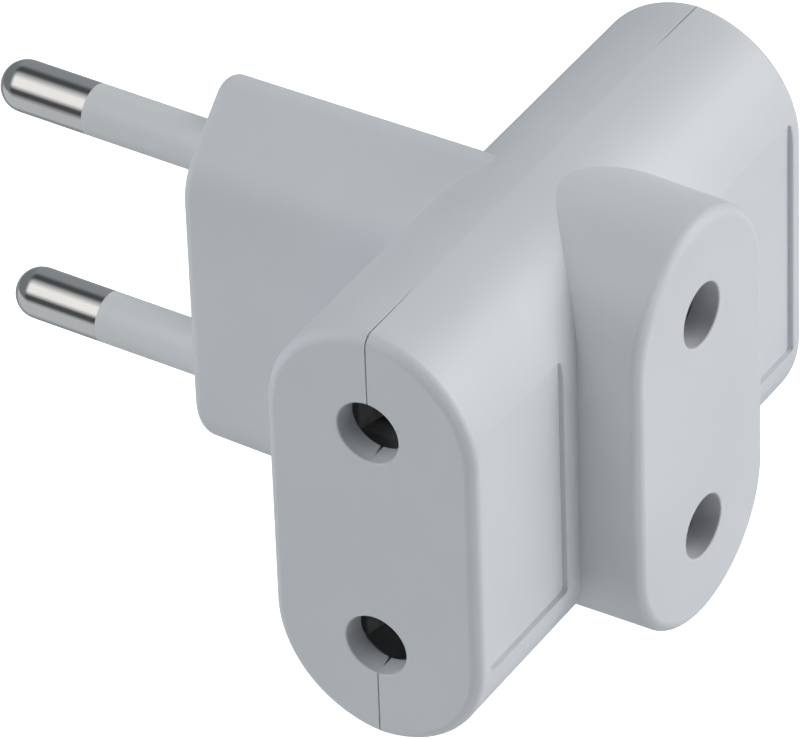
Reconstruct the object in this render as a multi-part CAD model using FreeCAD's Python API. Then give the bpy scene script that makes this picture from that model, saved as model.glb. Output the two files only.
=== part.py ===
import FreeCAD, Part
import math
import os

V = FreeCAD.Vector

# Three-way adapter for two-pin plugs, in millimetres.
# The origin is the middle of the plug face, halfway between the two pins.
# +X runs from the plug face to the front outlet, Y along the crossbar, +Z up through both pins.

# Pins and outlets
pin_spacing = 19.0          # between the two pins, and between the two holes of each outlet
pin_d = 4.0
pin_length = 19.4           # free length in front of the plug face
bare_tip = 8.0              # metal left free of the sleeve
neck_d = 2.9                # metal under the sleeve and on through the plug body
hole_d = 5.0

# Housing
parting_x = 26.4            # plug face to the plane where the two shells meet
bar_length = 46.4
bar_depth = 17.2
bar_height = 35.7
ridge_angle = 2.5           # slope of each shell at the parting plane, degrees
bar_edge = 0.6              # chamfer round the ends
wall = 1.6
end_wall = 2.0              # wall that carries the outlet holes
seam_width = 0.12           # shadow line round the parting plane
seam_depth = 0.2
seam_run = 7.3              # from each end to where the line fades out on the ridges

# Front outlet
boss_reach = 13.4           # parting plane to the front face
boss_width = 17.8           # at the front face
boss_drop = 0.35            # its crests below the bar's ridges
boss_side_draft = 4.0       # degrees
boss_edge = 0.55
front_wall = 2.1

# Plug body: a long hexagon with its points at the top and the bottom
plug_width = 12.8
plug_height = 34.6          # point to point, before the points are rounded
plug_flat = 22.4            # height of its upright sides
plug_draft = 1.0            # degrees
plug_side_r = 5.0
plug_point_r = 2.0
plug_edge = 0.6
plug_face_wall = 4.0
plug_wall = 2.0

# Label recesses on the bar's front, one each side of the front outlet
label_width = 10.6
label_height = 20.6
label_depth = 0.4
label_margin = 1.6          # from the recess to the end of the bar
label_corner_r = 0.4
label_rise = 0.6            # their middles above the bar's middle

# Tongue on the front shell that drops into the rear shell
tongue_width = 0.7
tongue_height = 1.0
tongue_gap = 0.1
tongue_relief = 3.6         # half the break in the tongue at each outlet hole
relief_width = 0.25         # notch inside the end wall, where the tongue breaks off
relief_length = 1.2

# Inner ribs of the shells
divider = 1.6               # insulating rib between the poles
seat_web = 1.2              # webs under the bus bars
seat_inset = 3.5            # outer web from the inside of the end wall
pin_tube_wall = 2.0
pin_tube_gap = 1.4          # from the end of the pin tube to the bus bar's tab

# Closing screw, sunk in the plug face
screw_d = 3.0
screw_length = 16.0
screw_head_d = 5.5
screw_head_height = 1.8
screw_head_edge = 0.6
recess_arm = 1.65           # cross recess: middle to the end of an arm
recess_blade = 0.4          # half its width
recess_depth = 0.9
screw_clearance = 0.15
screw_well_gap = 0.35
screw_well_depth = 14.4
screw_tube_wall = 1.5
pilot_run = 1.0             # the post's pilot hole past the screw's end
post_d = 7.5
post_gap = 0.25
post_drop = 5.0             # how far the front shell's post reaches past the parting plane

# Brass
strip = 0.8                 # bus bar thickness
strip_drop = 3.3            # from the pin's axis down to the bus bar
strip_margin = 1.0          # bus bar past the contacts' bases
tab_width = 5.6
tab_top = 2.4               # tab above the pin's axis
spring = 0.5                # contact jaw thickness
jaw_length = 13.6
jaw_base = 5.5
jaw_half_gap = 2.0          # inside the jaw's base
jaw_pinch = 1.75            # half the gap where the jaw grips
jaw_pinch_at = 10.2
jaw_mouth = 2.7             # half the gap at the flared mouth
jaw_rise = 2.2              # jaw above the pin's axis
jaw_mouth_gap = 1.15        # from the jaw's mouth to the end wall
front_jaw_gap = 1.0         # from the bus bar's tab to the front jaw
rivet_d = 2.0
collar_d = 5.4
tail_d = 2.4

pin_z = pin_spacing / 2
bar_half_depth = bar_depth / 2
bar_half_height = bar_height / 2
cavity_y = bar_length / 2 - end_wall
cavity_z = bar_half_height - wall
cavity_depth = bar_half_depth - wall
boss_height = bar_height - 2 * boss_drop
tab_x = parting_x - cavity_depth
boss_x = parting_x + boss_reach
post_end_x = parting_x - post_drop
well_x = screw_well_depth
strip_z = pin_z - strip_drop
collar_x = tab_x - pin_tube_gap
jaw_outer = jaw_half_gap + spring
end_jaw_y = cavity_y - jaw_mouth_gap - jaw_length
front_jaw_x = tab_x + strip + front_jaw_gap

overrun = 1.0               # how far a cutting shape runs past a face
tiny = 1e-6                 # two places closer than this are the same

X_AXIS = V(1, 0, 0)
Y_AXIS = V(0, 1, 0)
Z_AXIS = V(0, 0, 1)
ORIGIN = V(0, 0, 0)


def box(x, y, z):
    """Box from three (low, high) ranges."""
    return Part.makeBox(x[1] - x[0], y[1] - y[0], z[1] - z[0], V(x[0], y[0], z[0]))


def rod(radius, x_range, z=0.0, y=0.0):
    """Cylinder along X."""
    return Part.makeCylinder(radius, x_range[1] - x_range[0], V(x_range[0], y, z), X_AXIS)


def fuse(shapes):
    whole = shapes[0]
    for shape in shapes[1:]:
        whole = whole.fuse(shape)
    return whole.removeSplitter()


def frustum(x_low, x_high, outline):
    """Solid with flat faces between the outline's corners at two places along X."""
    low = outline(x_low)
    high = outline(x_high)
    faces = [Part.Face(Part.makePolygon(end + end[:1])) for end in (low, high)]
    for i in range(len(low)):
        corners = [low[i - 1], low[i], high[i], high[i - 1], low[i - 1]]
        faces.append(Part.Face(Part.makePolygon(corners)))
    return Part.makeSolid(Part.makeShell(faces))


def edges_before(shape, x):
    """Edges that lie wholly at or before a place along X."""
    return [edge for edge in shape.Edges if edge.BoundBox.XMax < x + tiny]


def bar_half(side, depth, half_height, half_length, slope):
    """One half of the crossbar: a flat face with round shoulders that rise to the parting plane."""
    radius = depth / (1 - math.sin(slope))
    flat = half_height - radius * math.cos(slope)
    middle = (math.pi / 2 - slope) / 2
    arc_x = depth - radius + radius * math.cos(middle)
    arc_z = flat + radius * math.sin(middle)

    def at(x, z):
        return V(parting_x + side * x, -half_length, z)

    outline = Part.Wire([
        Part.Arc(at(0, half_height), at(arc_x, arc_z), at(depth, flat)).toShape(),
        Part.makeLine(at(depth, flat), at(depth, -flat)),
        Part.Arc(at(depth, -flat), at(arc_x, -arc_z), at(0, -half_height)).toShape(),
        Part.makeLine(at(0, -half_height), at(0, half_height)),
    ])
    return Part.Face(outline).extrude(Y_AXIS * (2 * half_length))


def bar_outer(side):
    """Outside of one half of the bar, with its end edges broken."""
    bar = bar_half(side, bar_half_depth, bar_half_height, bar_length / 2, math.radians(ridge_angle))
    ends = []
    for edge in bar.Edges:
        centre = edge.CenterOfMass
        at_end = abs(abs(centre.y) - bar_length / 2) < tiny
        if at_end and abs(centre.x - parting_x) > tiny:
            ends.append(edge)
    return bar.makeChamfer(bar_edge, ends)


def bar_cavity(side):
    return bar_half(side, cavity_depth, cavity_z, cavity_y, 0.0)


def seam():
    """Shadow line: a narrow groove at the parting plane, round the ends and fading out along the ridges."""
    far = bar_length
    end_y = bar_length / 2
    corner = bar_edge + seam_depth * math.tan(math.pi / 8)
    corners = [
        (end_y - seam_depth, bar_half_height - corner),
        (end_y - corner, bar_half_height - seam_depth),
        (end_y - seam_run, bar_half_height),
        (end_y - seam_run, bar_half_height + seam_depth),
    ]
    corners += [(-y, z) for y, z in reversed(corners)]
    corners += [(y, -z) for y, z in reversed(corners)]
    low_x = parting_x - overrun
    outline = Part.makePolygon([V(low_x, y, z) for y, z in corners + corners[:1]])
    core = Part.Face(outline).extrude(X_AXIS * (2 * overrun))
    slab = box((parting_x, parting_x + seam_width), (-far, far), (-far, far))
    return slab.cut(core)


def boss_outer():
    """Front outlet: drafted flat sides between two cones that lean, so their crests stay level."""
    draft = math.radians(boss_side_draft)
    lean = math.atan(math.sin(draft))
    crest = boss_height / 2
    apex_x = boss_x + boss_width / 2 / math.tan(draft)
    reach = 2 * (apex_x - parting_x)
    down = V(-math.cos(lean), 0, -math.sin(lean))
    cone = Part.makeCone(0, reach * math.tan(lean), reach, V(apex_x, 0, crest), down)

    def touch(x):
        """Half width of the flat sides, and the height where they touch the cones."""
        run = apex_x - x
        fall = math.sin(lean) / (math.cos(lean) - math.sin(lean) * math.sin(draft))
        return run * math.tan(draft), crest - run * fall

    def above(x):
        height = touch(x)[1]
        corners = [(-crest, height), (crest, height), (crest, boss_height), (-crest, boss_height)]
        return [V(x, y, z) for y, z in corners]

    def between(x):
        width, height = touch(x)
        corners = [(-width, -height), (width, -height), (width, height), (-width, height)]
        return [V(x, y, z) for y, z in corners]

    cap = cone.common(frustum(parting_x, boss_x, above))
    boss = fuse([frustum(parting_x, boss_x, between), cap, cap.mirror(ORIGIN, Z_AXIS)])
    front = [edge for edge in boss.Edges if edge.BoundBox.XMin > boss_x - tiny]
    return boss.makeChamfer(boss_edge, front)


def boss_cavity():
    """Straight inside of the front outlet."""
    half_width = boss_width / 2 - end_wall
    flat = boss_height / 2 - end_wall - half_width
    x_range = (parting_x, boss_x - front_wall)
    middle = box(x_range, (-half_width, half_width), (-flat, flat))
    ends = [rod(half_width, x_range, -flat), rod(half_width, x_range, flat)]
    return fuse([middle] + ends)


def plug_solid(x_low, x_high, inset):
    """Hexagonal plug body with its corners sharp, drawn in by the inset."""
    slope = math.atan2(plug_height - plug_flat, plug_width)
    half_width = plug_width / 2 - inset

    def outline(x):
        point = plug_height / 2 + x * math.tan(math.radians(plug_draft)) - inset / math.cos(slope)
        shoulder = point - half_width * math.tan(slope)
        right = [(0, point), (half_width, shoulder), (half_width, -shoulder)]
        left = [(-y, -z) for y, z in right]
        return [V(x, y, z) for y, z in right + left]

    return frustum(x_low, x_high, outline)


def long_edges(shape):
    return [edge for edge in shape.Edges if edge.BoundBox.XLength > parting_x / 2]


def plug_outer():
    """Plug body with rounded corners, and its face's edge broken."""
    plug = plug_solid(0.0, parting_x - wall, 0.0)
    shoulders = [edge for edge in long_edges(plug) if abs(edge.CenterOfMass.y) > tiny]
    plug = plug.makeFillet(plug_side_r, shoulders)
    points = [edge for edge in long_edges(plug) if abs(edge.CenterOfMass.y) < tiny]
    plug = plug.makeFillet(plug_point_r, points)
    return plug.makeChamfer(plug_edge, edges_before(plug, 0.0))


def outlet_holes():
    """The holes of the three outlets, in through the end walls and the front face."""
    holes = []
    for z in (-pin_z, pin_z):
        for end in (-1, 1):
            start = V(parting_x, end * (cavity_y - overrun), z)
            holes.append(Part.makeCylinder(hole_d / 2, end_wall + 2 * overrun, start, Y_AXIS * end))
        holes.append(rod(hole_d / 2, (boss_x - 2 * front_wall, boss_x + overrun), z))
    return holes


def divider_rib(side, cavity):
    low, high = sorted((parting_x, parting_x + side * boss_reach))
    rib = box((low, high), (-bar_length, bar_length), (-divider / 2, divider / 2))
    return cavity.common(rib)


def seat_webs(side, cavity):
    """Webs that stand on the divider and carry the bus bars."""
    low, high = sorted((parting_x, parting_x + side * boss_reach))
    outer_y = cavity_y - seat_inset
    inner_y = end_jaw_y
    webs = []
    for y in (-outer_y, -inner_y, inner_y, outer_y):
        web = box((low, high), (y - seat_web / 2, y + seat_web / 2), (-strip_z + strip, strip_z - strip))
        webs.append(cavity.common(web))
    return webs


def label_recess(side):
    """Shallow rounded rectangle in the bar's front face."""
    high = bar_length / 2 - label_margin
    low = high - label_width
    half = label_height / 2
    floor_x = parting_x + bar_half_depth - label_depth
    y_range = sorted((side * low, side * high))
    z_range = (label_rise - half, label_rise + half)
    recess = box((floor_x, floor_x + 2 * label_depth), y_range, z_range)
    corners = [edge for edge in recess.Edges if edge.BoundBox.XLength > label_depth]
    return recess.makeFillet(label_corner_r, corners)


def tongue(gap):
    """Ring on the inner half of the wall, broken off at the end holes, grown by the gap for its rebate."""
    width = tongue_width + gap
    x_range = (parting_x - tongue_height - gap, parting_x)
    y, z = cavity_y + width, cavity_z + width
    ring = box(x_range, (-y, y), (-z, z))
    inner = box(x_range, (-cavity_y, cavity_y), (-cavity_z, cavity_z))
    breaks = []
    for hole_z in (-pin_z, pin_z):
        half = tongue_relief - gap
        breaks.append(box(x_range, (-y, y), (hole_z - half, hole_z + half)))
    return ring.cut(Part.makeCompound([inner] + breaks))


def relief_notches():
    """Notches inside the end walls, where the tongue breaks off for the outlet holes."""
    notches = []
    for hole_z in (-pin_z, pin_z):
        low_z = hole_z - tongue_relief + tongue_gap
        for end in (-1, 1):
            corners = [
                V(parting_x, end * cavity_y, low_z),
                V(parting_x - relief_width, end * cavity_y, low_z),
                V(parting_x, end * (cavity_y + relief_length), low_z),
            ]
            outline = Part.Face(Part.makePolygon(corners + corners[:1]))
            notches.append(outline.extrude(Z_AXIS * (2 * (tongue_relief - tongue_gap))))
    return notches


def rear_shell():
    cavity = fuse([
        bar_cavity(-1),
        plug_solid(plug_face_wall, tab_x + wall, plug_wall),
    ])
    shell = fuse([bar_outer(-1), plug_outer()]).cut(cavity)
    tube_r = neck_d / 2 + pin_tube_wall
    screw_tube_r = screw_head_d / 2 + screw_well_gap + screw_tube_wall
    ribs = [divider_rib(-1, cavity)] + seat_webs(-1, cavity)
    for z in (-pin_z, pin_z):
        ribs.append(rod(tube_r, (plug_face_wall / 2, collar_x), z))
    ribs.append(rod(screw_tube_r, (plug_face_wall / 2, post_end_x)))
    shell = fuse([shell] + ribs)
    cuts = outlet_holes() + relief_notches() + [tongue(tongue_gap)]
    for z in (-pin_z, pin_z):
        cuts.append(rod(neck_d / 2, (-overrun, collar_x), z))
    cuts.append(rod(screw_head_d / 2 + screw_well_gap, (-overrun, well_x)))
    cuts.append(rod(screw_d / 2 + screw_clearance, (well_x, post_end_x)))
    cuts.append(rod(post_d / 2 + post_gap, (post_end_x, parting_x)))
    return shell.cut(Part.makeCompound(cuts))


def front_shell():
    outer = fuse([bar_outer(1), boss_outer()])
    cavity = fuse([bar_cavity(1), boss_cavity()])
    shell = outer.cut(cavity)
    ribs = [divider_rib(1, cavity), tongue(0.0)] + seat_webs(1, cavity)
    ribs.append(rod(post_d / 2, (post_end_x, boss_x - front_wall)))
    shell = fuse([shell] + ribs)
    cuts = outlet_holes() + [label_recess(-1), label_recess(1), seam()]
    cuts.append(rod(screw_d / 2, (post_end_x, well_x + screw_length + pilot_run)))
    return shell.cut(Part.makeCompound(cuts))


def pin(z):
    """Turned pin: round tip, neck through sleeve and housing, collar, and a tail peened flush in the tab."""
    r = pin_d / 2
    neck = neck_d / 2
    sleeve_x = bare_tip - pin_length
    tail_x = tab_x + strip
    steps = [
        V(sleeve_x, 0, r), V(sleeve_x, 0, neck), V(collar_x, 0, neck), V(collar_x, 0, collar_d / 2),
        V(tab_x, 0, collar_d / 2), V(tab_x, 0, tail_d / 2), V(tail_x, 0, tail_d / 2),
        V(tail_x, 0, 0), V(-pin_length, 0, 0),
    ]
    tip = V(-pin_length + r, 0, r)
    round_x = -pin_length + r * (1 - math.cos(math.pi / 4))
    dome = Part.Arc(V(-pin_length, 0, 0), V(round_x, 0, r * math.sin(math.pi / 4)), tip).toShape()
    edges = [dome, Part.makeLine(tip, steps[0])]
    edges += [Part.makeLine(a, b) for a, b in zip(steps, steps[1:])]
    profile = Part.Face(Part.Wire(edges))
    return profile.revolve(ORIGIN, X_AXIS, 360).translated(V(0, 0, z))


def pin_sleeve(z):
    """Sleeve on the pin's neck, held between the bare tip and the plug face."""
    x_range = (bare_tip - pin_length, 0)
    return rod(pin_d / 2, x_range, z).cut(rod(neck_d / 2, x_range, z))


def bus_bar():
    """Upper bus bar: a strip along the crossbar with a tab bent up behind the front contact."""
    half_length = end_jaw_y + jaw_base + strip_margin
    front_x = parting_x + jaw_outer + strip_margin
    under_z = strip_z - strip
    flat = box((tab_x + strip, front_x), (-half_length, half_length), (under_z, strip_z))
    tab = box((tab_x, tab_x + strip), (-tab_width / 2, tab_width / 2), (under_z, pin_z + tab_top))
    bar = fuse([flat, tab])
    bend = []
    for edge in bar.Edges:
        centre = edge.CenterOfMass
        if abs(centre.x - tab_x) < tiny and abs(centre.z - under_z) < tiny:
            bend.append(edge)
    bar = bar.makeFillet(strip, bend)
    holes = [rod(tail_d / 2, (tab_x - overrun, tab_x + strip + overrun), pin_z)]
    for x, y in rivet_places():
        holes.append(Part.makeCylinder(rivet_d / 2, 3 * strip, V(x, y, under_z - strip)))
    return bar.cut(Part.makeCompound(holes))


def rivet_places():
    """Where the left, right and front contacts are riveted to a bus bar."""
    along = jaw_base / 2
    return [
        (parting_x, -(end_jaw_y + along)),
        (parting_x, end_jaw_y + along),
        (front_jaw_x + along, 0.0),
    ]


def jaw():
    """Spring contact that opens along +X: a base with two leaves that pinch the plug's pin."""
    base = box((0, jaw_base), (-jaw_outer, jaw_outer), (strip_z, strip_z + spring))
    gaps = [(0, jaw_half_gap), (jaw_base, jaw_half_gap), (jaw_pinch_at, jaw_pinch), (jaw_length, jaw_mouth)]
    pieces = [base]
    for side in (-1, 1):
        inner = [V(x, side * y, strip_z + spring) for x, y in gaps]
        outer = [V(x, side * (y + spring), strip_z + spring) for x, y in reversed(gaps)]
        leaf = Part.Face(Part.makePolygon(inner + outer + inner[:1]))
        pieces.append(leaf.extrude(Z_AXIS * (pin_z + jaw_rise - strip_z - spring)))
    hole = Part.makeCylinder(rivet_d / 2, 3 * spring, V(jaw_base / 2, 0, strip_z - spring))
    return fuse(pieces).cut(hole)


def jaws():
    """The left, right and front contacts of the upper pole."""
    right = jaw().rotated(ORIGIN, Z_AXIS, 90).translated(V(parting_x, end_jaw_y, 0))
    left = jaw().rotated(ORIGIN, Z_AXIS, -90).translated(V(parting_x, -end_jaw_y, 0))
    front = jaw().translated(V(front_jaw_x, 0, 0))
    return {"left": left, "right": right, "front": front}


def rivet(x, y):
    """Rivet peened flush with the contact and the bus bar."""
    return Part.makeCylinder(rivet_d / 2, strip + spring, V(x, y, strip_z - strip))


def closing_screw():
    """Self-cutting pan-head screw, in from the plug face."""
    top_x = well_x - screw_head_height
    head = rod(screw_head_d / 2, (top_x, well_x))
    head = head.makeChamfer(screw_head_edge, edges_before(head, top_x))
    shank = rod(screw_d / 2, (well_x, well_x + screw_length))
    recess = (top_x - overrun, top_x + recess_depth)
    arm = (-recess_arm, recess_arm)
    blade = (-recess_blade, recess_blade)
    cross = fuse([box(recess, arm, blade), box(recess, blade, arm)])
    return fuse([head, shank]).cut(cross)


def lower(shape):
    """The lower pole is the upper one mirrored in the plane between the pins."""
    return shape.mirror(ORIGIN, Z_AXIS)


def parts():
    nodes = {
        "rear_shell": rear_shell(),
        "front_shell": front_shell(),
        "upper_pin": pin(pin_z),
        "lower_pin": pin(-pin_z),
        "upper_pin_sleeve": pin_sleeve(pin_z),
        "lower_pin_sleeve": pin_sleeve(-pin_z),
        "upper_bus_bar": bus_bar(),
        "lower_bus_bar": lower(bus_bar()),
        "closing_screw": closing_screw(),
    }
    for (name, contact), place in zip(jaws().items(), rivet_places()):
        nodes["upper_" + name + "_contact"] = contact
        nodes["lower_" + name + "_contact"] = lower(contact)
        nodes["upper_" + name + "_rivet"] = rivet(*place)
        nodes["lower_" + name + "_rivet"] = lower(rivet(*place))
    return nodes


os.makedirs("parts", exist_ok=True)
for name, shape in parts().items():
    shape.exportStep("parts/" + name + ".step")
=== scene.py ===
import math

import bmesh
import bpy
from mathutils import Matrix, Vector


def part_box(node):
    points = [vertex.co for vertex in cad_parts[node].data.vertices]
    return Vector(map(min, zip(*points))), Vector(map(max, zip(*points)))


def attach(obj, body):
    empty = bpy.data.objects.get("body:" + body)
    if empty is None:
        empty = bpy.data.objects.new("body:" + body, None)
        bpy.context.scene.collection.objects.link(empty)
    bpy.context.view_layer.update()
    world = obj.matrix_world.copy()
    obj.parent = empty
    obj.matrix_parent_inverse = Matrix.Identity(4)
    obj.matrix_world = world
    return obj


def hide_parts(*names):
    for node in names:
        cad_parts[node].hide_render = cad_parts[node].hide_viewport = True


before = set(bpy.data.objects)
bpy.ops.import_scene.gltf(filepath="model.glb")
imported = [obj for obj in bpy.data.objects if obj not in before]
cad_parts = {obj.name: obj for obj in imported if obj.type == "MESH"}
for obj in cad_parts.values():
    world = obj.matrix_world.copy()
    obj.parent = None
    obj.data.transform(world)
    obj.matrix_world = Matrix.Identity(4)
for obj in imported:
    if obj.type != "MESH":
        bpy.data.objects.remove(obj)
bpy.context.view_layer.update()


# Rear shell: one moulding of pale grey plastic, half of the crossbar with the plug body on its back.
# It carries the pins, and its edges are rounded by the mould. The front shell closes it.
mm = 0.001
rear_low, rear_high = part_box("rear_shell")
end_y = rear_high.y
parting_x = 26.4 * mm
seam_width = 0.12 * mm
pin_z = 9.5 * mm
hole_r = 2.5 * mm
rim_slack = 0.02 * hole_r
bar_edge = 0.6 * mm
plug_edge = 0.6 * mm
bar_blend = 0.29 * mm
plug_blend = 0.36 * mm
rim_round = 0.13 * mm
edge_steps = 4
rim_steps = 3
chamfer_turns = (25, 65)
chamfer_slants = (-0.9, -0.1)
close = 0.01 * mm
point_gap = 0.0005 * mm
sliver_gap = 0.003 * mm
flat_angle = math.radians(0.1)
smooth_angle = math.radians(14)


def srgb(red, green, blue):
    """Linear colour from the red, green and blue of 0 to 255 that a screen shows."""
    return tuple((part / 255) ** 2.2 for part in (red, green, blue)) + (1.0,)


class Value:
    """One number in a set of nodes, which takes the signs of arithmetic."""

    def __init__(self, nodes, socket):
        self.nodes = nodes
        self.socket = socket

    def maths(self, operation, first, second):
        made = self.nodes.node("ShaderNodeMath", {"operation": operation}, {0: first, 1: second})
        return Value(self.nodes, made.outputs[0])

    def __add__(self, other):
        return self.maths("ADD", self, other)

    def __radd__(self, other):
        return self.maths("ADD", other, self)

    def __mul__(self, other):
        return self.maths("MULTIPLY", self, other)

    def __rmul__(self, other):
        return self.maths("MULTIPLY", other, self)


class Nodes:
    """The nodes of one material or of the world."""

    def __init__(self, tree):
        self.tree = tree

    def node(self, kind, settings=None, inputs=None):
        """New node of a kind. Its settings come first, then the values or links of its sockets."""
        made = self.tree.nodes.new(kind)
        for name, setting in (settings or {}).items():
            if name == "stops":
                self.set_stops(made.color_ramp.elements, setting)
            else:
                setattr(made, name, setting)
        for name, source in (inputs or {}).items():
            self.join(made.inputs[name], source)
        return made

    def set_stops(self, elements, stops):
        elements.remove(elements[1])
        elements[0].position, elements[0].color = stops[0]
        for place, colour in stops[1:]:
            elements.new(place).color = colour

    def join(self, socket, source):
        if isinstance(source, Value):
            source = source.socket
        if isinstance(source, bpy.types.NodeSocket):
            self.tree.links.new(source, socket)
        else:
            socket.default_value = source

    def ramp(self, value, low, high):
        """Value stretched so that low becomes nothing and high becomes one."""
        inputs = {"Value": value, "From Min": low, "From Max": high}
        return Value(self, self.node("ShaderNodeMapRange", None, inputs).outputs[0])

    def blend(self, share, first, second):
        """Colour between the first and the second, from the Mix node's colour sockets."""
        inputs = {"Factor": share, 6: first, 7: second}
        return self.node("ShaderNodeMix", {"data_type": "RGBA"}, inputs).outputs[2]


class Finish(Nodes):
    """A material on one Principled shader, laid out in the part's own coordinates."""

    def __init__(self, name):
        self.material = bpy.data.materials.new(name)
        self.material.use_nodes = True
        super().__init__(self.material.node_tree)
        self.shader = self.tree.nodes["Principled BSDF"]
        self.place = self.node("ShaderNodeTexCoord").outputs["Object"]

    def noise(self, size, detail, stretch=(1, 1, 1)):
        """Cloudy value around a half, with patches of that size."""
        turned = self.node("ShaderNodeMapping", None, {"Vector": self.place, "Scale": stretch})
        inputs = {"Vector": turned.outputs[0], "Scale": 1 / size, "Detail": detail}
        return Value(self, self.node("ShaderNodeTexNoise", None, inputs).outputs[0])

    def bump(self, height, depth, strength):
        inputs = {"Height": height, "Distance": depth, "Strength": strength}
        return self.node("ShaderNodeBump", None, inputs).outputs[0]

    def feed(self, **inputs):
        for name, source in inputs.items():
            self.join(self.shader.inputs[name.replace("_", " ")], source)


def moulded_plastic(name, light, dark):
    """Satin moulded plastic: faint cloudy tone, and the fine grain of a spark-worn mould."""
    satin, cloud_dulls, grain_dulls = 0.33, 0.1, 0.08
    cloud_share, speck_share = 0.85, 0.15
    plastic = Finish(name)
    cloud = plastic.noise(size=14 * mm, detail=3.0)
    grain = plastic.noise(size=0.16 * mm, detail=2.0)
    speck = plastic.ramp(plastic.noise(size=0.9 * mm, detail=4.0), low=0.66, high=0.78)
    tone = plastic.ramp(cloud, low=0.3, high=0.7) * cloud_share + speck * speck_share
    plastic.feed(
        Base_Color=plastic.blend(tone, srgb(*dark), srgb(*light)),
        Roughness=satin + cloud * cloud_dulls + grain * grain_dulls,
        Normal=plastic.bump(grain, depth=0.006 * mm, strength=0.6),
    )
    return plastic.material


housing_plastic = moulded_plastic("housing_plastic", light=(209, 212, 216), dark=(203, 206, 211))


def alone(piece):
    """Only this piece is selected and active."""
    bpy.ops.object.select_all(action="DESELECT")
    piece.select_set(True)
    bpy.context.view_layer.objects.active = piece


def merged_copy(node, material):
    """New piece from a CAD node: its triangles joined, and flat stretches made one face each."""
    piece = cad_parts[node].copy()
    piece.data = piece.data.copy()
    piece.name = node + "_finished"
    for name in list(piece.keys()):
        del piece[name]
    piece.parent = None
    bpy.context.scene.collection.objects.link(piece)
    alone(piece)
    bpy.ops.mesh.customdata_custom_splitnormals_clear()
    bpy.ops.object.mode_set(mode="EDIT")
    bpy.ops.mesh.select_all(action="SELECT")
    bpy.ops.mesh.remove_doubles(threshold=point_gap)
    bpy.ops.mesh.dissolve_limited(angle_limit=flat_angle)
    bpy.ops.object.mode_set(mode="OBJECT")
    piece.data.materials.clear()
    piece.data.materials.append(material)
    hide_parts(node)
    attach(piece, "root")
    return piece


def pick(piece, kind, wanted):
    """Opens a piece in edit mode, with just the corners, edges or faces selected that pass."""
    alone(piece)
    bpy.ops.object.mode_set(mode="EDIT")
    bpy.ops.mesh.select_mode(type=kind)
    bpy.ops.mesh.select_all(action="DESELECT")
    mesh = bmesh.from_edit_mesh(piece.data)
    for item in {"VERT": mesh.verts, "EDGE": mesh.edges, "FACE": mesh.faces}[kind]:
        if wanted(item):
            item.select_set(True)
    bmesh.update_edit_mesh(piece.data)


def join_points(gap):
    """Joins points that lie within the gap, and closes edit mode."""
    bpy.ops.mesh.select_all(action="SELECT")
    bpy.ops.mesh.remove_doubles(threshold=gap)
    bpy.ops.object.mode_set(mode="OBJECT")


def round_edges(piece, wanted, width, steps):
    """Bevels the edges that pass the test, in one go."""
    pick(piece, "EDGE", lambda edge: edge.is_manifold and wanted(edge))
    bpy.ops.mesh.bevel(offset=width, segments=steps, affect="EDGES", clamp_overlap=False)
    join_points(sliver_gap)


def plain_chamfer(piece, in_band):
    """Makes the faces of a chamfer anew, straight from rim to rim."""
    pick(piece, "FACE", in_band)
    bpy.ops.mesh.delete(type="FACE")
    bpy.ops.mesh.select_mode(type="EDGE")
    bpy.ops.mesh.select_non_manifold()
    bpy.ops.mesh.bridge_edge_loops()
    bpy.ops.object.mode_set(mode="OBJECT")


def shade(piece):
    """Smooth shading that keeps flat faces flat and sharp edges sharp."""
    alone(piece)
    bpy.ops.object.shade_smooth_by_angle(angle=smooth_angle)
    bpy.ops.object.modifier_add(type="WEIGHTED_NORMAL")
    piece.modifiers[-1].keep_sharp = True
    bpy.ops.object.modifier_apply(modifier=piece.modifiers[-1].name)


def turn(edge):
    """Degrees between an edge's two faces, above nothing where the edge stands out."""
    return math.degrees(edge.calc_face_angle_signed(0.0))


def chamfer_side(edge):
    """The edge turns as the sides of a chamfer do."""
    return chamfer_turns[0] < turn(edge) < chamfer_turns[1]


def bar_rims(edge):
    """Both sides of the chamfers round the bar's ends, but not in the groove."""
    at_end = all(abs(v.co.y) > end_y - bar_edge - close for v in edge.verts)
    past_groove = all(v.co.x > parting_x + seam_width - close for v in edge.verts)
    before_groove = all(v.co.x < parting_x + close for v in edge.verts)
    return chamfer_side(edge) and at_end and (past_groove or before_groove)


def plug_band(face):
    """A face of the chamfer round the plug face."""
    in_reach = all(v.co.x < rear_low.x + plug_edge + close for v in face.verts)
    return in_reach and chamfer_slants[0] < face.normal.x < chamfer_slants[1]


def plug_rims(edge):
    """Both sides of the chamfer round the plug face."""
    at_face = all(v.co.x < rear_low.x + plug_edge + close for v in edge.verts)
    return chamfer_side(edge) and at_face


def on_rim(edge, across):
    """A short piece of an outlet hole's rim. Across tells how far a point is beside its axis."""
    places = [v.co for v in edge.verts]
    places.append((places[0] + places[1]) / 2)
    reaches = [math.hypot(across(place), abs(place.z) - pin_z) for place in places]
    return all(abs(reach - hole_r) < rim_slack for reach in reaches)


def end_mouths(edge):
    """Rims of the outlet holes in the bar's ends."""
    on_end = all(abs(abs(v.co.y) - end_y) < close for v in edge.verts)
    return on_end and on_rim(edge, lambda place: place.x - parting_x)


rear_shell = merged_copy("rear_shell", housing_plastic)
round_edges(rear_shell, bar_rims, bar_blend, edge_steps)
plain_chamfer(rear_shell, plug_band)
round_edges(rear_shell, plug_rims, plug_blend, edge_steps)
round_edges(rear_shell, end_mouths, rim_round, rim_steps)
shade(rear_shell)


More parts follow.
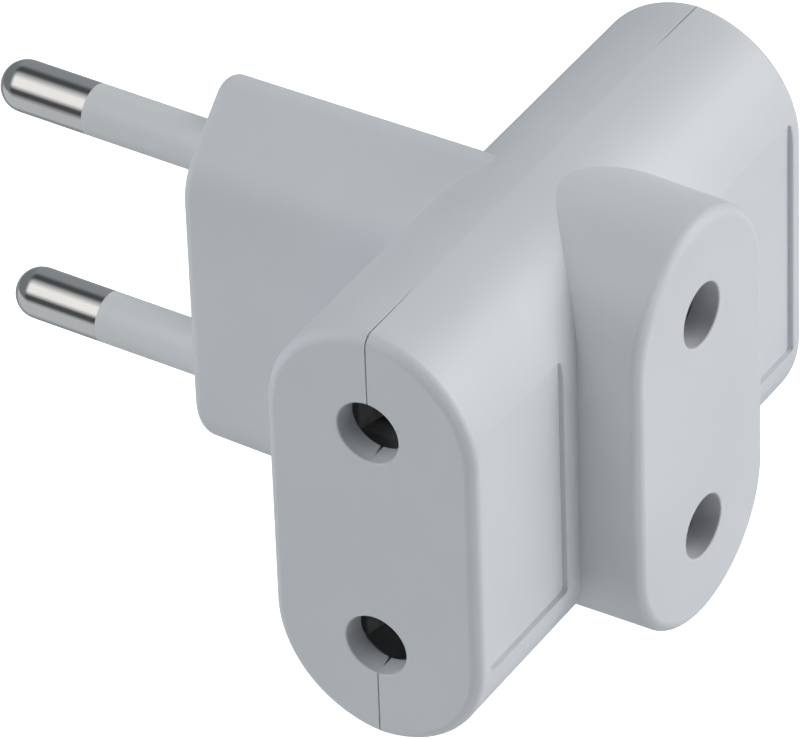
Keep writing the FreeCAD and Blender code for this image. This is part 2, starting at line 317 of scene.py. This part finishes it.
# Front shell: the other half of the crossbar with the raised front outlet, from the same plastic.
# Its tongue drops into the rear shell, and a groove round the joint leaves a thin dark line.
front_face_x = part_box("front_shell")[1].x
boss_edge = 0.55 * mm
seam_depth = 0.2 * mm
flush_z = pin_z - 0.9 * hole_r
bar_face_x = 35.0 * mm
label_depth = 0.4 * mm
label_top = 10.6 * mm
label_middle = Vector((34.6, 16.3, 0.6)) * mm
label_width = 10.6 * mm
label_height = 20.6 * mm
label_slope = 0.1 * mm
lip_round = 0.13 * mm
lip_turn = 45


def boss_rims(edge):
    """Both sides of the chamfer round the front outlet."""
    at_front = all(v.co.x > front_face_x - boss_edge - close for v in edge.verts)
    return chamfer_side(edge) and at_front


def front_mouths(edge):
    """Rims of the outlet holes in the front face."""
    on_front = all(v.co.x > front_face_x - close for v in edge.verts)
    return on_front and on_rim(edge, lambda place: place.y)


def label_rims(edge):
    """Upright rims of the two label recesses, which lie just behind the bar's front face."""
    first, second = (v.co for v in edge.verts)
    floor_x = bar_face_x - label_depth
    behind_face = all(floor_x + close < place.x < bar_face_x + close for place in (first, second))
    upright = abs(first.y - second.y) < close and max(first.z, second.z) < label_top
    return turn(edge) > lip_turn and behind_face and upright


def slope_label(piece, end):
    """Draws in the floor of the recess at one end, which gives its walls the slope of a mould."""
    middle = Vector((label_middle.x, end * label_middle.y, label_middle.z))

    def on_floor(vert):
        away = vert.co - middle
        in_width = abs(away.y) < label_width / 2 + close
        in_height = abs(away.z) < label_height / 2 + close
        return in_width and in_height and abs(away.x) < close

    pick(piece, "VERT", on_floor)
    across = 1 - 2 * label_slope / label_width
    along = 1 - 2 * label_slope / label_height
    bpy.ops.transform.resize(value=(1, across, along), center_override=middle)
    bpy.ops.object.mode_set(mode="OBJECT")


def groove_floor(vert):
    """A corner of the groove's floor between the two outlet holes of an end."""
    on_floor = abs(abs(vert.co.y) - end_y + seam_depth) < close
    return on_floor and abs(vert.co.z) < flush_z and vert.co.x < parting_x + seam_width + close


def level_groove(piece):
    """Brings the groove's floor flush between the holes of each end, where no shadow shows."""
    pick(piece, "VERT", groove_floor)
    reach = end_y / (end_y - seam_depth)
    bpy.ops.transform.resize(value=(1, reach, 1), center_override=(0, 0, 0))
    join_points(point_gap)


front_shell = merged_copy("front_shell", housing_plastic)
level_groove(front_shell)
round_edges(front_shell, bar_rims, bar_blend, edge_steps)
round_edges(front_shell, boss_rims, bar_blend, edge_steps)
round_edges(front_shell, end_mouths, rim_round, rim_steps)
round_edges(front_shell, front_mouths, rim_round, rim_steps)
for end in (-1, 1):
    slope_label(front_shell, end)
round_edges(front_shell, label_rims, lip_round, rim_steps)
shade(front_shell)


# Pins: turned from brass bar, nickel plated and polished, with round tips.
# Each goes through the plug body and is peened into a bus bar.
polish, haze_dulls = 0.05, 0.06
turning_marks = (1, 0.02, 0.02)
nickel = Finish("polished_nickel")
rings = nickel.noise(size=0.12 * mm, detail=2.0, stretch=turning_marks)
haze = nickel.noise(size=3 * mm, detail=3.0)
nickel.feed(
    Base_Color=nickel.blend(haze, srgb(232, 230, 226), srgb(222, 221, 218)),
    Metallic=1.0,
    Roughness=polish + haze * haze_dulls,
    Normal=nickel.bump(rings, depth=0.002 * mm, strength=0.5),
)
for pole in ("upper", "lower"):
    shade(merged_copy(pole + "_pin", nickel.material))


# Sleeves: plastic tubes on the necks of the pins, flush with the bare tips.
# They are a shade paler than the housing and end at the plug face.
sleeve_plastic = moulded_plastic("sleeve_plastic", light=(214, 217, 219), dark=(208, 211, 214))
for pole in ("upper", "lower"):
    shade(merged_copy(pole + "_pin_sleeve", sleeve_plastic))


# Bus bars, contacts and rivets: strips and springs punched from brass sheet.
# Rivets hold three contacts on each bar, one behind each outlet's holes.
rolling_lines = (0.05, 0.05, 1)
tarnish_dulls = 0.14


def brass(name, light, dark, roughness):
    """Rolled brass: fine lines along the strip, and a dull tarnish in patches."""
    metal = Finish(name)
    lines = metal.noise(size=0.09 * mm, detail=2.0, stretch=rolling_lines)
    tarnish = metal.ramp(metal.noise(size=2.2 * mm, detail=4.0), low=0.45, high=0.7)
    metal.feed(
        Base_Color=metal.blend(tarnish, srgb(*light), srgb(*dark)),
        Metallic=1.0,
        Roughness=roughness + tarnish * tarnish_dulls,
        Normal=metal.bump(lines, depth=0.003 * mm, strength=0.5),
    )
    return metal.material


strip_brass = brass("strip_brass", light=(226, 216, 190), dark=(204, 192, 164), roughness=0.3)
spring_brass = brass("spring_brass", light=(238, 236, 230), dark=(218, 215, 206), roughness=0.42)
rivet_brass = brass("rivet_brass", light=(206, 188, 148), dark=(176, 156, 114), roughness=0.34)
for pole in ("upper", "lower"):
    shade(merged_copy(pole + "_bus_bar", strip_brass))
    for outlet in ("left", "right", "front"):
        shade(merged_copy(pole + "_" + outlet + "_contact", spring_brass))
        shade(merged_copy(pole + "_" + outlet + "_rivet", rivet_brass))


# Closing screw: zinc-plated steel, pan head with a cross recess, sunk in the plug face.
# It cuts its thread in the front shell's post and clamps the shells.
plating, cloud_dulls = 0.28, 0.15
zinc = Finish("zinc_steel")
cloud = zinc.noise(size=0.8 * mm, detail=4.0)
zinc.feed(
    Base_Color=zinc.blend(cloud, srgb(196, 198, 200), srgb(168, 171, 175)),
    Metallic=1.0,
    Roughness=plating + cloud * cloud_dulls,
    Normal=zinc.bump(cloud, depth=0.004 * mm, strength=0.5),
)
shade(merged_copy("closing_screw", zinc.material))


# Studio floor: a wide sheet of pale paper under the part, which a wall socket would hold in the air.
# It glows white to the camera, less so in reflections, and keeps a soft shadow.
floor_drop = 34 * mm
floor_z = rear_low.z - floor_drop
floor_size = 3.0
floor_glow = 0.8
mirrored_share = 0.4
white = (1.0, 1.0, 1.0, 1.0)
bpy.ops.object.select_all(action="DESELECT")
bpy.ops.mesh.primitive_plane_add(size=floor_size, location=(0, 0, floor_z))
floor = bpy.context.object
floor.name = "studio_floor"
paper = Finish("floor_paper")
paper.feed(Base_Color=srgb(236, 236, 236), Roughness=0.9)
rays = paper.node("ShaderNodeLightPath").outputs
seen = Value(paper, rays["Is Camera Ray"]) + Value(paper, rays["Is Glossy Ray"]) * mirrored_share
seen = seen + Value(paper, rays["Is Transmission Ray"])
glow = paper.node("ShaderNodeEmission", None, {"Color": white, "Strength": seen * floor_glow})
lit = paper.node("ShaderNodeAddShader", None, {0: paper.shader.outputs[0], 1: glow.outputs[0]})
paper.join(paper.tree.nodes["Material Output"].inputs[0], lit.outputs[0])
floor.data.materials.append(paper.material)


# Reflection tent: grey cloth all round, with a bright panel above the near side between dark gaps.
# Only mirror-like and glossy surfaces see it, so the plated pins show its bands. The bands run
# along X, and their angles go round from the far side over the top.
tent_radius = 0.36
tent_clearance = 2 * mm
end_share, full_end_share = 0.62, 0.8
plain_cloth = srgb(138, 144, 150)
pale_cloth = srgb(188, 192, 196)
end_cloth = srgb(115, 121, 126)
dark_gap = srgb(72, 76, 80)
bands = [
    (-180, dark_gap), (-175, dark_gap),
    (-155, pale_cloth), (-105, pale_cloth),
    (-85, plain_cloth), (50, plain_cloth),
    (70, dark_gap), (85, dark_gap),
    (120, white), (150, white),
    (170, dark_gap),
]
bpy.ops.object.select_all(action="DESELECT")
bpy.ops.mesh.primitive_uv_sphere_add(segments=48, ring_count=24, radius=tent_radius)
tent = bpy.context.object
tent.name = "reflection_tent"
for corner in tent.data.vertices:
    corner.co.z = max(corner.co.z, floor_z + tent_clearance)
tent.visible_camera = False
tent.visible_diffuse = False
tent.visible_shadow = False
tent.visible_transmission = False
cloth = Finish("tent_cloth")
axes = cloth.node("ShaderNodeSeparateXYZ", None, {0: cloth.place}).outputs
bearing = cloth.node("ShaderNodeMath", {"operation": "ARCTAN2"}, {0: axes["Z"], 1: axes["Y"]})
round_x = Value(cloth, bearing.outputs[0]) * (0.5 / math.pi) + 0.5
stops = [(0.5 + angle / 360, tone) for angle, tone in bands]
panel = cloth.node("ShaderNodeValToRGB", {"stops": stops}, {0: round_x}).outputs[0]
behind = cloth.ramp(Value(cloth, axes["X"]), -end_share * tent_radius, -full_end_share * tent_radius)
cloth.feed(
    Base_Color=(0, 0, 0, 1),
    Roughness=1.0,
    Emission_Color=cloth.blend(behind, panel, end_cloth),
    Emission_Strength=1.0,
)
tent.data.materials.append(cloth.material)


# World: plain air that lights the part dimly and evenly from all sides.
# It shows white to the camera, in reflections and through anything clear.
ambient = 0.12
world = bpy.data.worlds.new("studio_world")
bpy.context.scene.world = world
world.use_nodes = True
air = Nodes(world.node_tree)
rays = air.node("ShaderNodeLightPath").outputs
seen = Value(air, rays["Is Camera Ray"]) + Value(air, rays["Is Glossy Ray"])
seen = air.ramp(seen + Value(air, rays["Is Transmission Ray"]), low=0.0, high=1.0)
background = air.tree.nodes["Background"]
air.join(background.inputs["Color"], white)
air.join(background.inputs["Strength"], ambient + seen * (1.0 - ambient))


# Lamps: five square softboxes on stands round the part, each facing its middle.
# Two stand before the front outlet, two on the near side and one behind the plug.
lamp_size = 0.6
lamp_distance = 1.0
lit_middle = Vector((18, 0, 0)) * mm
neutral = (1.0, 1.0, 1.0)
cool = (0.93, 0.98, 1.0)


def softbox(name, azimuth, elevation, watts, tint):
    """Square soft light that faces the part, placed by the angles that the camera uses."""
    level, height = math.cos(math.radians(elevation)), math.sin(math.radians(elevation))
    across, along = math.sin(math.radians(azimuth)), math.cos(math.radians(azimuth))
    back = Vector((across * level, -along * level, height)) * lamp_distance
    lamp = bpy.data.lights.new(name, "AREA")
    lamp.shape = "SQUARE"
    lamp.size = lamp_size
    lamp.energy = watts
    lamp.color = tint
    holder = bpy.data.objects.new(name, lamp)
    bpy.context.scene.collection.objects.link(holder)
    facing = back.to_track_quat("Z", "Y").to_matrix().to_4x4()
    holder.matrix_world = Matrix.Translation(lit_middle + back) @ facing


softbox("far_front_light", azimuth=135, elevation=30, watts=4.85, tint=neutral)
softbox("front_low_light", azimuth=110, elevation=5, watts=4.9, tint=neutral)
softbox("near_high_light", azimuth=-30, elevation=55, watts=3.45, tint=cool)
softbox("near_low_light", azimuth=-45, elevation=10, watts=1.4, tint=cool)
softbox("rear_light", azimuth=-90, elevation=35, watts=2.3, tint=neutral)


# Camera: the photograph's angle, from the front outlet's side and above the near end of the bar.
# It stands far off with a long lens, and is turned a little about its own axis.
camera_azimuth = math.radians(32.92)
camera_elevation = math.radians(37.28)
camera_roll = math.radians(-2.13)
camera_distance = 592.4 * mm
camera_aim = Vector((17.77, -5.40, 0.04)) * mm
focal_length = 370.5
sensor_width = 36.0
sideways = Matrix.Rotation(camera_azimuth, 4, "Z")
tilted = Matrix.Rotation(math.pi / 2 - camera_elevation, 4, "X")
rolled = Matrix.Rotation(camera_roll, 4, "Z")
drawn_back = Matrix.Translation((0, 0, camera_distance))
lens = bpy.data.cameras.new("camera")
lens.lens = focal_length
lens.sensor_width = sensor_width
camera = bpy.data.objects.new("camera", lens)
bpy.context.scene.collection.objects.link(camera)
camera.matrix_world = Matrix.Translation(camera_aim) @ sideways @ tilted @ rolled @ drawn_back
bpy.context.scene.camera = camera
bpy.context.scene.view_settings.view_transform = "Standard"
